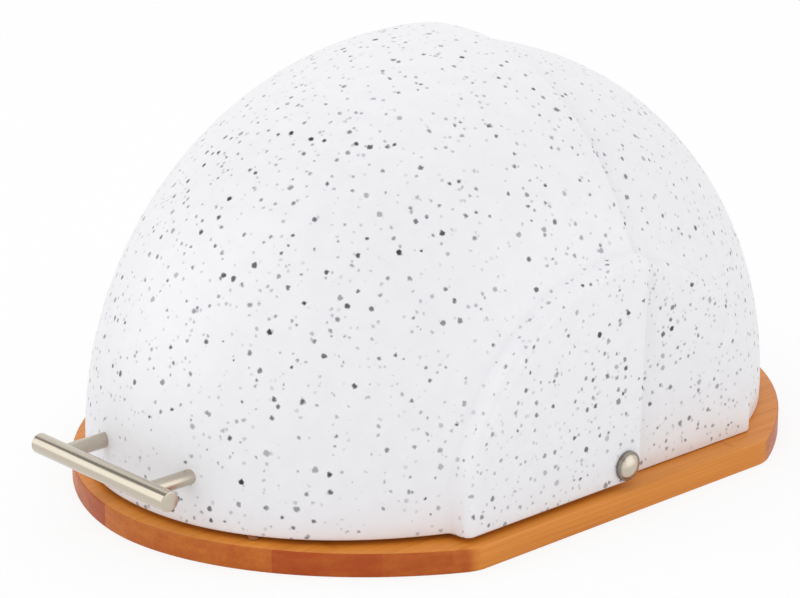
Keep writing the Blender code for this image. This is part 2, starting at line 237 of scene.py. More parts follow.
@dataclass(frozen=True)
class SpeckledCoating(Finish):
    """Powder coating on pressed steel, near white, with flecks of charcoal and grey stirred into it.

    The powder melts to a soft, rippled skin: its gloss is broad, its flecks have uneven outlines, and soft
    clouds of it are a little greyer.
    """

    flecks: tuple[Speckles, ...] = ()
    ripple_mm: float = 2.6
    ripple_depth_mm: float = 0.012
    wobble_mm: float = 1.7
    wobble_reach_mm: float = 0.75
    edge_mm: float = 0.45
    cloud_mm: float = 9.0
    cloud_share: float = 0.09
    cloud_colour: str = "CFCFD6"

    def pattern(self, graph: Graph, shader: Node, place: Socket) -> None:
        """Lays each kind of fleck over the clouded ground, and ripples the skin."""
        wobble = graph.noise(place, self.wobble_mm, 1.0).outputs["Color"]
        centred = graph.vector("SUBTRACT", wobble, (0.5,) * 3)
        swing = graph.vector("MULTIPLY", centred, (2 * self.wobble_reach_mm,) * 3)
        uneven = graph.vector("ADD", place, swing)
        cloud = graph.noise(place, self.cloud_mm, 2.0).outputs["Fac"]
        share = graph.ramp(cloud, NOISE_ENDS, (0.0, self.cloud_share))
        colour = graph.mix(share, linear(self.colour), linear(self.cloud_colour))
        for kind in self.flecks:
            colour = self.lay(graph, uneven, kind, colour)
        graph.link(colour, shader, "Base Color")
        graph.bump(shader, graph.noise(place, self.ripple_mm, 0.0).outputs["Fac"], self.ripple_depth_mm)

    def lay(self, graph: Graph, place: Socket, kind: Speckles, under: Socket) -> Socket:
        """Lays one kind of fleck over a colour.

        Args:
            graph: The material's tree.
            place: The place on the object in millimetres, already made uneven.
            kind: The flecks to lay.
            under: The colour below them.

        Returns:
            The colour with the flecks on it.
        """
        spacing = kind.spacing_mm
        shifted = graph.vector("ADD", place, (kind.shift_mm,) * 3)
        cells = graph.add("TexVoronoi", {"Vector": shifted, "Scale": 1 / spacing}).outputs
        chance = graph.add("SeparateColor", {0: cells["Color"]}).outputs
        sizes = (kind.least_mm / spacing, kind.most_mm / spacing)
        past = graph.math("SUBTRACT", cells["Distance"], graph.ramp(chance["Green"], results=sizes))
        edge = self.edge_mm / spacing
        inside = graph.ramp(past, (edge, -edge), smooth=True)
        present = graph.math("LESS_THAN", chance["Red"], kind.present_share)
        tone = graph.ramp(chance["Blue"], results=(kind.faintest_share, 1.0))
        strength = graph.math("MULTIPLY", graph.math("MULTIPLY", inside, present), tone)
        return graph.mix(strength, under, linear(kind.colour))


@dataclass(frozen=True)
class Bamboo(Finish):
    """Laminated bamboo strips under a satin lacquer, whose fibres run from front to back.

    The long sides show straight streaks. The rounded ends cut across the fibres, which drink more lacquer
    and turn darker and redder. Dark shares are those of strips, streaks, fibres and knots, and end shares
    those of strips, patches, streaks and fibres.
    """

    dark: str = "B8651C"
    end: str = "B04A12"
    strip_mm: float = 19.0
    strip_draw: float = 5612.0
    streak_mm: Point = (3.2, 190.0, 2.6)
    streak_roughness: float = 0.6
    patch_mm: Point = (13.0, 190.0, 5.0)
    fibre_mm: Point = (0.8, 70.0, 0.8)
    fibre_depth_mm: float = 0.03
    knot_mm: float = 230.0
    knot_shift: float = 7.3
    knot_ends: Pair = (0.012, 0.002)
    dark_start: float = -0.55
    dark_shares: tuple[float, ...] = (0.30, 0.75, 0.55, 0.22)
    end_slopes: Pair = (0.15, 0.5)
    end_shares: tuple[float, ...] = (0.45, 0.6, 0.25, 0.15)
    duller: float = 0.08
    glossier: float = 0.06

    def pattern(self, graph: Graph, shader: Node, place: Socket) -> None:
        """Mixes strips, streaks, fibres, knots and darker end grain."""
        axes = graph.add("SeparateXYZ", {0: place}).outputs
        strip = graph.math("FLOOR", graph.math("DIVIDE", axes["X"], self.strip_mm))
        drawn = graph.math("ADD", strip, self.strip_draw)
        chance = graph.add("TexWhiteNoise", {"W": drawn}, noise_dimensions="1D").outputs["Value"]
        streaks = graph.noise(place, self.streak_mm, 3.0, self.streak_roughness).outputs["Fac"]
        fibres = graph.noise(place, self.fibre_mm, 2.0).outputs["Fac"]
        patches = graph.noise(place, self.patch_mm, 1.0).outputs["Fac"]
        knots = self.knots(graph, axes["Y"], chance)
        darkened = graph.sum_of(self.dark_start, (chance, streaks, fibres, knots), self.dark_shares)
        colour = graph.mix(darkened, linear(self.colour), linear(self.dark))
        normal = graph.add("NewGeometry").outputs["Normal"]
        slope = graph.math("ABSOLUTE", graph.add("SeparateXYZ", {0: normal}).outputs["Y"])
        cut = graph.ramp(slope, self.end_slopes, smooth=True)
        stained = graph.sum_of(0.0, (chance, patches, streaks, fibres), self.end_shares)
        colour = graph.mix(graph.math("MULTIPLY", cut, stained), colour, linear(self.end))
        graph.link(colour, shader, "Base Color")
        gloss = graph.ramp(
            fibres, NOISE_ENDS, (self.roughness - self.glossier, self.roughness + self.duller)
        )
        graph.link(gloss, shader, "Roughness")
        graph.bump(shader, fibres, self.fibre_depth_mm)

    def knots(self, graph: Graph, along: Socket, chance: Socket) -> Socket:
        """Gives the thin dark band where each strip crosses a joint of the cane."""
        share = graph.math("DIVIDE", along, self.knot_mm)
        share = graph.math("FRACT", graph.math("MULTIPLY_ADD", chance, self.knot_shift, share))
        far = graph.math("ABSOLUTE", graph.math("SUBTRACT", share, 0.5))
        return graph.ramp(far, self.knot_ends, smooth=True)


@dataclass(frozen=True)
class Brushed(Finish):
    """Metal brushed along one direction: fine lines that stretch the gloss across them."""

    metallic: float = 1.0
    line_mm: float | Point = 0.25
    depth_mm: float = 0.0003
    spread: float = 0.03

    def pattern(self, graph: Graph, shader: Node, place: Socket) -> None:
        """Varies the roughness and the height along the brush lines."""
        lines = graph.noise(place, self.line_mm, 3.0).outputs["Fac"]
        rough = (self.roughness - self.spread, self.roughness + self.spread)
        graph.link(graph.ramp(lines, NOISE_ENDS, rough), shader, "Roughness")
        graph.bump(shader, lines, self.depth_mm)


@dataclass(frozen=True)
class NickelWithPaintedRimShade(Brushed):
    """Satin nickel on a domed head, with painted shade: a dark rim painted round the head's edge."""

    # The painted shade's colour, and where it fades in from the pivots' axis, in millimetres.
    painted_rim_shade_colour: str = "8A8278"
    painted_rim_shade_mm: Pair = (5.3, 6.7)

    def pattern(self, graph: Graph, shader: Node, place: Socket) -> None:
        """Paints the dark rim of painted shade over the brushed metal, by the distance from the pivots'
        axis.
        """
        super().pattern(graph, shader, place)
        centred = graph.vector("SUBTRACT", place, (0.0, 0.0, PIVOT_HEIGHT * MM_PER_M))
        flat = graph.vector("MULTIPLY", centred, (0.0, 1.0, 1.0))
        far = graph.add("VectorMath", {0: flat}, operation="LENGTH").outputs["Value"]
        # Painted shade: the colour turns dark towards the head's rim.
        share = graph.ramp(far, self.painted_rim_shade_mm, smooth=True)
        graph.link(graph.mix(share, linear(self.colour), linear(self.painted_rim_shade_colour)), shader, "Base Color")


@dataclass(frozen=True)
class Moulded(Finish):
    """Moulded plastic or silicone: one colour, a faint grain and a little light let through."""

    grain_mm: float = 0.5
    depth_mm: float = 0.01
    through: float = 0.0

    def pattern(self, graph: Graph, shader: Node, place: Socket) -> None:
        """Adds the mould's grain and any see-through."""
        shader.inputs["Transmission Weight"].default_value = self.through
        graph.bump(shader, graph.noise(place, self.grain_mm, 2.0).outputs["Fac"], self.depth_mm)


# Powder-coated steel: a cool near-white skin with charcoal, grey and pale flecks.
SPECKLED_COATING = SpeckledCoating(
    name="speckled_powder_coating",
    slot="coated_steel",
    colour="F4F4F7",
    roughness=0.42,
    flecks=(
        Speckles(4.4, 0.5, 0.95, 0.6, "B4B4BE", 0.2, 31.0),
        Speckles(5.6, 0.5, 1.05, 0.55, "6E6E78", 0.3, 57.0),
        Speckles(6.8, 0.6, 1.5, 0.85, "1C1D25", 0.4, 0.0),
    ),
)

# Bamboo: warm honey-brown under satin lacquer.
BAMBOO = Bamboo(name="lacquered_bamboo", slot="bamboo", colour="E89438", roughness=0.42, ior=1.35)

# Satin nickel on steel: a warm grey that throws back soft, stretched lights.
SATIN_NICKEL = Brushed(
    name="brushed_nickel", slot="satin_nickel", colour=NICKEL, roughness=0.21, line_mm=(0.5, 8.0, 8.0)
)

# The rivets' heads: the same nickel, with painted shade in a dark ring round the rim.
NICKEL_WITH_PAINTED_RIM_SHADE = NickelWithPaintedRimShade(
    name="domed_nickel_painted_rim_shade", slot="satin_nickel", colour=NICKEL, roughness=0.27, line_mm=0.3
)

# Zinc plate: a cooler grey, slightly duller.
ZINC = Brushed(
    name="zinc_plate", slot="zinc_steel", colour="C3C6CC", roughness=0.34, line_mm=0.4, depth_mm=0.004
)

# Natural nylon: milky white and slightly waxy.
NYLON = Moulded(name="natural_nylon", slot="nylon", colour="E6E5DF", roughness=0.45, ior=1.53)

# Silicone: soft and partly see-through; its colour is painted, the board seen through the clear silicone,
# darkened as painted shade for the shadow under the lid's hem.
SILICONE = Moulded(
    name="clear_silicone", slot="silicone", colour="B5743A", roughness=0.3, ior=1.41, through=0.3
)


class Body(Enum):
    """The bodies that the pieces ride on."""

    BASE = "base"
    LID = "lid"


def placed(name: str, shape: Shape) -> Item:
    """Puts a shape, which this call frees, in the scene as an object."""
    mesh = bpy.data.meshes.new(name)
    shape.to_mesh(mesh)
    shape.free()
    item = bpy.data.objects.new(name, mesh)
    bpy.context.scene.collection.objects.link(item)
    return item


def taken(item: Item, *helpers: Item) -> Shape:
    """Gives an object's shape with its modifiers applied, and removes it and its helpers."""
    bpy.context.view_layer.update()
    graph = bpy.context.evaluated_depsgraph_get()
    mesh = bpy.data.meshes.new_from_object(item.evaluated_get(graph))
    result = bmesh.new()
    result.from_mesh(mesh)
    bpy.data.meshes.remove(mesh)
    for old in (item, *helpers):
        left = old.data
        bpy.data.objects.remove(old)
        bpy.data.meshes.remove(left)
    return result


def show(name: str, shape: Shape, finish: Finish, body: Body, *nodes: str) -> None:
    """Puts a finished mesh in the scene, on its body and in place of its nodes.

    Args:
        name: The piece's name.
        shape: Its mesh, in the frame's own place, which this call frees.
        finish: What it is made of.
        body: The body that carries it.
        nodes: The frame's nodes that it stands for.
    """
    item = placed(name, shape)
    item.data.shade_smooth()
    item.data.set_sharp_from_angle(angle=SHARP)
    item.data.materials.append(finish.material())
    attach(item, body.value)
    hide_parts(*nodes)
    LOG.info("%s: %d faces, for %s", name, len(item.data.polygons), ", ".join(nodes))


def combined(shape: Shape, other: Shape, operation: str = "DIFFERENCE") -> Shape:
    """Cuts one closed shape with another, or keeps what both share.

    Args:
        shape: The shape to cut, which this call frees.
        other: The cutter, which this call frees too.
        operation: The Boolean's operation.

    Returns:
        The result.
    """
    item, cutter = placed("cut", shape), placed("cutter", other)
    cut = item.modifiers.new("cut", "BOOLEAN")
    cut.operation = operation
    cut.object = cutter
    cut.solver = "EXACT"
    return taken(item, cutter)


def chain(shape: Shape, points: Sequence[Point]) -> list[bmesh.types.BMEdge]:
    """Draws a line through points.

    Args:
        shape: The mesh that takes the line.
        points: Where it runs.

    Returns:
        Its edges in order.
    """
    verts = [shape.verts.new(point) for point in points]
    return [shape.edges.new(pair) for pair in zip(verts, verts[1:])]


def soften(shape: Shape, parts: list, width: float, segments: int, affect: str) -> None:
    """Rounds the chosen corners of a line or edges of a form."""
    bmesh.ops.bevel(
        shape,
        geom=parts,
        offset=width,
        offset_type="OFFSET",
        segments=segments,
        profile=ROUND,
        affect=affect,
        material=-1,
    )


def round_corners(shape: Shape, corners: dict[int, float], segments: int) -> None:
    """Rounds some corners of a drawn line.

    Args:
        shape: A mesh that holds the line alone.
        corners: The width of the rounding for each vertex by its number in the line.
        segments: How many steps each rounding has.
    """
    shape.verts.ensure_lookup_table()
    chosen = [(shape.verts[number], width) for number, width in corners.items()]
    for vert, width in chosen:
        soften(shape, [vert], width, segments, "VERTICES")


def spun(shape: Shape, centre: Point, axis: Point, steps: int) -> None:
    """Turns a drawn line into a closed form of revolution.

    Args:
        shape: A mesh that holds the line alone, whose ends lie on the axis.
        centre: A point on the axis.
        axis: The axis's direction.
        steps: How many steps the turn has.
    """
    bmesh.ops.spin(
        shape,
        geom=shape.verts[:] + shape.edges[:],
        cent=centre,
        axis=axis,
        angle=2 * pi,
        steps=steps,
        use_merge=True,
    )
    bmesh.ops.remove_doubles(shape, verts=shape.verts[:], dist=MERGE)
    bmesh.ops.recalc_face_normals(shape, faces=shape.faces[:])


def move(shape: Shape, place: Point | Vector, axis: Vector) -> Shape:
    """Turns a shape's Z to an axis and brings its origin to a place."""
    turn = axis.to_track_quat("Z", "Y").to_matrix().to_4x4()
    bmesh.ops.transform(shape, matrix=Matrix.Translation(place) @ turn, verts=shape.verts[:])
    return shape


def turned(
    profile: Sequence[Pair],
    place: Point,
    axis: Vector,
    corners: dict[int, float] | None = None,
    steps: int = 64,
    segments: int = 4,
) -> Shape:
    """Turns a profile about an axis through a place.

    Args:
        profile: Pairs of radius and height along the axis.
        place: Where height 0 lies.
        axis: The direction of growing height.
        corners: The width of the rounding for some of the profile's points.
        steps: How many steps the turn has.
        segments: How many steps each rounding has.

    Returns:
        The turned shape.
    """
    shape = bmesh.new()
    chain(shape, [(radius, 0.0, height) for radius, height in profile])
    round_corners(shape, corners or {}, segments)
    spun(shape, (0, 0, 0), (0, 0, 1), steps)
    return move(shape, place, axis)


def rod(radius: float, start: Point, end: Point, steps: int = 64) -> Shape:
    """Makes a plain closed cylinder from one point to another."""
    axis = Vector(end) - Vector(start)
    profile = ((0, 0), (radius, 0), (radius, axis.length), (0, axis.length))
    return turned(profile, start, axis, steps=steps)


def joined(shapes: Sequence[Shape]) -> Shape:
    """Puts several shapes, which this call frees, in one mesh."""
    whole = bmesh.new()
    for shape in shapes:
        mesh = bpy.data.meshes.new("joined")
        shape.to_mesh(mesh)
        shape.free()
        whole.from_mesh(mesh)
        bpy.data.meshes.remove(mesh)
    return whole


@dataclass(frozen=True)
class DomedShell:
    """A dome of pressed sheet: a superellipse turned about its axis, with a raised round panel per side."""

    radius: float
    half_width: float
    boss_radius: float
    face_x: float
    foot: float
    lip: float
    axis_height: float = 0.0208
    sheet: float = 0.001
    boss_bend: float = 0.004
    boss_draft: float = 0.001
    crease_round: float = 0.0016
    round_steps: int = 6
    lip_bend: float = 0.0011
    lip_bend_steps: int = 4
    exponent: float = 2.1
    dome_steps: int = 56
    turn_steps: int = 288

    def dome_point(self, angle: float, inset: float) -> Pair:
        """Gives the radius and the x of a place on the dome, moved in by inset."""
        power = 2 / self.exponent
        return (
            (self.radius - inset) * sin(angle) ** power,
            (self.half_width - inset) * cos(angle) ** power,
        )

    def half_section(self, inset: float = 0.0) -> list[Pair]:
        """Draws the section from the middle of a side panel to the middle of the dome.

        Args:
            inset: How far the whole section is moved in.

        Returns:
            Pairs of radius and x.
        """
        rim = self.boss_radius - inset
        flat = self.face_x - inset
        foot_of_boss = rim + self.boss_draft
        share = foot_of_boss / (self.radius - inset)
        crease = atan2(share ** (self.exponent / 2), sqrt(1 - share**self.exponent))
        steps = range(self.dome_steps)
        angles = [crease + (pi / 2 - crease) * step / self.dome_steps for step in steps]
        dome = [self.dome_point(angle, inset) for angle in angles]
        return [(0.0, flat), (rim, flat), *dome, (self.radius - inset, 0.0)]

    def form(self, inset: float = 0.0) -> Shape:
        """Turns the closed outer form, or the same form moved in by inset."""
        shape = bmesh.new()
        points = self.half_section(inset)
        chain(shape, [(x, -radius, self.axis_height) for radius, x in points])
        round_corners(shape, {1: self.boss_bend, 2: self.crease_round}, self.round_steps)
        bmesh.ops.mirror(shape, geom=shape.verts[:] + shape.edges[:], axis="X", merge_dist=MERGE)
        spun(shape, (0, 0, self.axis_height), (1, 0, 0), self.turn_steps)
        return shape

    def trim(self, shape: Shape, place: Point, outward: Point) -> None:
        """Takes away what lies beyond a plane."""
        bmesh.ops.bisect_plane(
            shape,
            geom=shape.verts[:] + shape.edges[:] + shape.faces[:],
            dist=MERGE,
            plane_co=place,
            plane_no=outward,
            clear_outer=True,
        )

    def lip_point(self, place: Vector) -> Vector:
        """Gives the inner edge of the turned-in sheet beside a place on the wall."""
        rim, crease = self.half_section(self.lip)[1:3]
        crease_x = self.half_section()[2][1]
        across = abs(place.x)
        radius = sqrt(place.y**2 + (self.axis_height - place.z) ** 2)
        if across > crease_x:
            share = (self.face_x - across) / (self.face_x - crease_x)
            radius = min(radius, rim[0] + (crease[0] - rim[0]) * share)
            across = rim[1] + (crease[1] - rim[1]) * share
        else:
            angle = acos(min(1.0, (across / self.half_width) ** (self.exponent / 2)))
            radius, across = self.dome_point(angle, self.lip)
            if across > crease[1]:
                radius, across = crease
        along = sqrt(max(0.0, radius**2 - (self.axis_height - self.foot) ** 2))
        return Vector((copysign(across, place.x), copysign(along, place.y), self.foot))

    def turn_in(self, shape: Shape) -> None:
        """Cuts the form above the foot and turns the sheet in along it, round a small bend."""
        self.trim(shape, (0, 0, self.foot + self.lip_bend), (0, 0, -1))
        outer = shape.verts.layers.float_vector.new("outer")
        edges = [edge for edge in shape.edges if edge.is_boundary]
        for vert in {vert for edge in edges for vert in edge.verts}:
            vert[outer] = vert.co
        for step in range(1, self.lip_bend_steps + 2):
            made = bmesh.ops.extrude_edge_only(shape, edges=edges)["geom"]
            for vert in (part for part in made if isinstance(part, bmesh.types.BMVert)):
                start = vert[outer]
                end = self.lip_point(start)
                if step > self.lip_bend_steps:
                    vert.co = end
                    continue
                angle = pi / 2 * step / self.lip_bend_steps
                inward = Vector((end.x - start.x, end.y - start.y, 0)).normalized()
                vert.co = start + inward * self.lip_bend * (1 - cos(angle))
                vert.co.z = self.foot + self.lip_bend * (1 - sin(angle))
            edges = [part for part in made if isinstance(part, bmesh.types.BMEdge)]
        bmesh.ops.remove_doubles(shape, verts=shape.verts[:], dist=MERGE)
        bmesh.ops.recalc_face_normals(shape, faces=shape.faces[:])

    def build(self, cuts: Sequence[tuple[Point, Point]], bores: Shape) -> Shape:
        """Makes the shell, from the sheet with its turned-in foot to its thickness and holes.

        Args:
            cuts: A place and the outward direction of each plane that cuts the sheet.
            bores: The cutters of its holes, which this call frees.

        Returns:
            The closed shell.
        """
        shape = self.form()
        self.turn_in(shape)
        for place, outward in cuts:
            self.trim(shape, place, outward)
        item = placed("sheet", shape)
        wall = item.modifiers.new("wall", "SOLIDIFY")
        wall.thickness = self.sheet
        wall.offset = -1
        wall.use_even_offset = True
        return combined(taken(item), bores)


@dataclass(frozen=True)
class FrontLid:
    """The lid: the outer dome, cut along a line that leans back, with a round under each pivot."""

    shell: DomedShell = DomedShell(
        radius=0.193, half_width=0.144, boss_radius=0.1055, face_x=0.13374, foot=0.0146, lip=0.005
    )
    lean: float = radians(2)
    round_steps: int = 14

    def build(self, bores: Shape) -> None:
        """Builds the lid.

        Args:
            bores: The cutters of its holes, which this call frees.
        """
        cuts = []
        for step in range(1, self.round_steps + 1):
            angle = (pi / 2 - self.lean) * step / self.round_steps
            outward = Vector((0, sin(angle), -cos(angle)))
            under = outward * (PIVOT_HEIGHT - self.shell.foot)
            cuts.append((Vector((0, 0, PIVOT_HEIGHT)) + under, outward))
        solid = self.shell.build(cuts, bores)
        show("lid_shell", solid, SPECKLED_COATING, Body.LID, "front_lid")


@dataclass(frozen=True)
class RearShell:
    """The fixed rear shell: the inner dome, cut straight down in front of the pivots, on a wide flange."""

    shell: DomedShell = DomedShell(
        radius=0.1852, half_width=0.14, boss_radius=0.101, face_x=0.12474, foot=0.0123, lip=0.014
    )
    front_y: float = -0.018

    def build(self, bores: Shape) -> None:
        """Builds the rear shell.

        Args:
            bores: The cutters of its holes, which this call frees.
        """
        solid = self.shell.build([((0, self.front_y, 0), (0, -1, 0))], bores)
        show("rear_dome", solid, SPECKLED_COATING, Body.BASE, "rear_shell")


@dataclass(frozen=True)
class Board:
    """The board: two straight sides between ends that bulge as part of a superellipse."""

    front: float = 0.201
    rear: float = 0.1935
    half_width: float = 0.13904
    thickness: float = 0.012
    side_length: float = 0.2
    edge: float = 0.0009
    edge_steps: int = 4
    corner: float = 0.005
    corner_steps: int = 10
    corner_room: float = 1.25
    exponent: float = 1.9
    end_steps: int = 96

    def outline_point(self, number: int) -> Pair:
        """Gives a point of the outline by its number, counted round from the rear right corner."""
        half_length = (self.front + self.rear) / 2
        share = self.side_length / (2 * half_length)
        bulge = self.half_width / (1 - share**self.exponent) ** (1 / self.exponent)
        end, step = divmod(number, self.end_steps + 1)
        way = 1 if end == 0 else -1
        if step in (0, self.end_steps):
            across = self.half_width * (1 if step == 0 else -1)
        else:
            room = self.half_width - self.corner_room * self.corner
            across = room * cos(pi * (step - 1) / (self.end_steps - 2))
        along = half_length * (1 - abs(across / bulge) ** self.exponent) ** (1 / self.exponent)
        return way * across, way * along + (self.rear - self.front) / 2

    def build(self, bores: Shape) -> None:
        """Builds the board.

        Args:
            bores: The cutters of its pilot holes, which this call frees.
        """
        shape = bmesh.new()
        segments = 2 * (self.end_steps + 1)
        made = bmesh.ops.create_circle(shape, cap_ends=True, radius=1, segments=segments)
        ordered = sorted(made["verts"], key=lambda vert: atan2(vert.co.y, vert.co.x) % (2 * pi))
        for number, vert in enumerate(ordered):
            vert.co = (*self.outline_point(number), 0)
        raised = bmesh.ops.extrude_face_region(shape, geom=shape.faces[:])
        lifted = [part for part in raised["geom"] if isinstance(part, bmesh.types.BMVert)]
        bmesh.ops.translate(shape, vec=(0, 0, self.thickness), verts=lifted)
        bmesh.ops.recalc_face_normals(shape, faces=shape.faces[:])
        corners = [
            edge
            for edge in shape.edges
            if all(abs(abs(vert.co.x) - self.half_width) < MERGE for vert in edge.verts)
            and abs(edge.verts[0].co.z - edge.verts[1].co.z) > MERGE
        ]
        soften(shape, corners, self.corner, self.corner_steps, "EDGES")
        rims = [edge for edge in shape.edges if edge.calc_face_angle(0) > SHARP]
        soften(shape, rims, self.edge, self.edge_steps, "EDGES")
        show("bamboo_board", combined(shape, bores), BAMBOO, Body.BASE, "board")


@dataclass(frozen=True)
class Screw:
    """A screw with a domed head and, where it is driven from above, a cross recess."""

    head_radius: float
    head_height: float
    shank_radius: float
    rim: float
    recess: float = 0.0
    head_steps: int = 14
    arm_share: float = 1 / 6.4
    taper: float = 0.55
    cutter_share: float = 0.55
    cutter_lift: float = 0.95

    def build(self, seat: Point, axis: Vector, shank: float) -> Shape:
        """Makes the screw.

        Args:
            seat: Where the underside of the head lies.
            axis: The direction from the head's underside to its top.
            shank: The shank's length.

        Returns:
            The screw's shape.
        """
        foot = ((self.head_radius, 0.0), (self.shank_radius, 0.0), (self.shank_radius, -shank))
        shape = turned((*self.head_line(), *foot, (0.0, -shank)), seat, axis)
        if self.recess:
            shape = combined(shape, self.cross(seat, axis))
        return shape

    def head_line(self) -> list[Pair]:
        """Draws the head's outline from its top to its rim, as radius and height."""
        turns = [pi / 2 * step / self.head_steps for step in range(self.head_steps + 1)]
        rise = self.head_height - self.rim
        return [(self.head_radius * sin(turn), self.rim + rise * cos(turn)) for turn in turns]

    def cross(self, seat: Point, axis: Vector) -> Shape:
        """Makes the cutter of the cross recess, which narrows towards the shank."""
        shape = bmesh.new()
        reach, arm = self.recess / 2, self.recess * self.arm_share
        corners = [Vector((x, y, 0)) for x, y in ((reach, arm), (arm, arm), (arm, reach))]
        turns = [Matrix.Rotation(pi / 2 * quarter, 3, "Z") for quarter in range(4)]
        outline = [turn @ corner for turn in turns for corner in corners]
        depth = self.head_height * self.cutter_share
        taper = self.taper
        low = [shape.verts.new((spot.x * taper, spot.y * taper, -depth)) for spot in outline]
        high = [shape.verts.new((spot.x, spot.y, depth)) for spot in outline]
        for at in range(len(outline)):
            shape.faces.new((low[at - 1], low[at], high[at], high[at - 1]))
        shape.faces.new(reversed(low))
        shape.faces.new(high)
        lift = axis.normalized() * self.head_height * self.cutter_lift
        return move(shape, Vector(seat) + lift, axis)


@dataclass(frozen=True)
class CapScrew(Screw):
    """A screw whose head is a low crown on a thick round flange."""

    crown_radius: float = 0.0066
    flange_edge: float = 0.0006
    edge_steps: int = 6

    def head_line(self) -> list[Pair]:
        """Draws the crown and then the flange with its rounded edge."""
        line = []
        rise = self.head_height - self.rim
        sphere = (self.crown_radius**2 + rise**2) / (2 * rise)
        reach = atan2(self.crown_radius, sphere - rise)
        for step in range(self.head_steps + 1):
            turn = reach * step / self.head_steps
            line.append((sphere * sin(turn), self.head_height - sphere * (1 - cos(turn))))
        edge = self.flange_edge
        for step in range(self.edge_steps + 1):
            turn = pi / 2 * step / self.edge_steps
            line.append((self.head_radius - edge * (1 - sin(turn)), self.rim - edge * (1 - cos(turn))))
        return line


@dataclass(frozen=True)
class Pivots:
    """The two pivots: a domed screw, a spacer between the shells, a washer and a nut inside."""

    bore_radius: float = 0.0033
    bore_reach: float = 0.16
    spacer_edge: float = 0.0006
    washer_edge: float = 0.0002
    edge_steps: int = 3
    ring_steps: int = 64
    nut_slope: float = 0.6
    screw: Screw = CapScrew(head_radius=0.0075, head_height=0.0042, shank_radius=0.003, rim=0.0016)

    def bore(self) -> Shape:
        """Makes the cutter of both pivots' holes, right across the box."""
        reach = self.bore_reach
        return rod(self.bore_radius, (-reach, 0, PIVOT_HEIGHT), (reach, 0, PIVOT_HEIGHT), BORE_STEPS)

    def build(self) -> None:
        """Builds the eight pieces of the pivots."""
        for side, sign in SIDES:
            low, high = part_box(f"pivot_screw_{side}")
            outer = max(abs(low.x), abs(high.x))
            inner = min(abs(low.x), abs(high.x))
            seat = outer - self.screw.head_height
            shape = self.screw.build((sign * seat, 0, PIVOT_HEIGHT), sign * ALONG_X, seat - inner)
            show(f"pivot_rivet_{side}", shape, NICKEL_WITH_PAINTED_RIM_SHADE, Body.BASE, f"pivot_screw_{side}")
            self.ring(f"pivot_spacer_{side}", NYLON, self.spacer_edge)
            self.ring(f"pivot_washer_{side}", ZINC, self.washer_edge)
            self.nut(f"pivot_nut_{side}")

    def ring(self, node: str, finish: Finish, edge: float) -> None:
        """Builds a spacer or washer in its node's place, with broken edges."""
        low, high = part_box(node)
        inner, outer = self.bore_radius, (high.z - low.z) / 2
        length = high.x - low.x
        shape = bmesh.new()
        corners = ((inner, 0.0), (outer, 0.0), (outer, length), (inner, length))
        edges = chain(shape, [(across, 0.0, along) for across, along in corners])
        shape.edges.new((edges[-1].verts[1], edges[0].verts[0]))
        round_corners(shape, dict.fromkeys(range(4), edge), self.edge_steps)
        spun(shape, (0, 0, 0), (0, 0, 1), self.ring_steps)
        move(shape, (low.x, 0, PIVOT_HEIGHT), ALONG_X)
        show(f"{node}_ring", shape, finish, Body.BASE, node)

    def nut(self, node: str) -> None:
        """Builds a hexagon nut with turned corners in its node's place."""
        low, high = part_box(node)
        length = high.x - low.x
        corner = max(high.y - low.y, high.z - low.z) / 2
        across = corner * cos(pi / 6)
        shape = bmesh.new()
        bmesh.ops.create_cone(
            shape, cap_ends=True, segments=6, radius1=corner, radius2=corner, depth=length
        )
        bmesh.ops.rotate(shape, matrix=Matrix.Rotation(pi / 6, 3, "Z"), verts=shape.verts[:])
        move(shape, ((low.x + high.x) / 2, 0, PIVOT_HEIGHT), ALONG_X)
        slope = (corner - across) * self.nut_slope
        near = ((0, 0), (across, 0), (corner, slope))
        lens = (*near, *((radius, length - along) for radius, along in reversed(near)))
        shape = combined(shape, turned(lens, (low.x, 0, PIVOT_HEIGHT), ALONG_X), "INTERSECT")
        shape = combined(shape, self.bore())
        show(f"{node}_hexagon", shape, ZINC, Body.BASE, node)


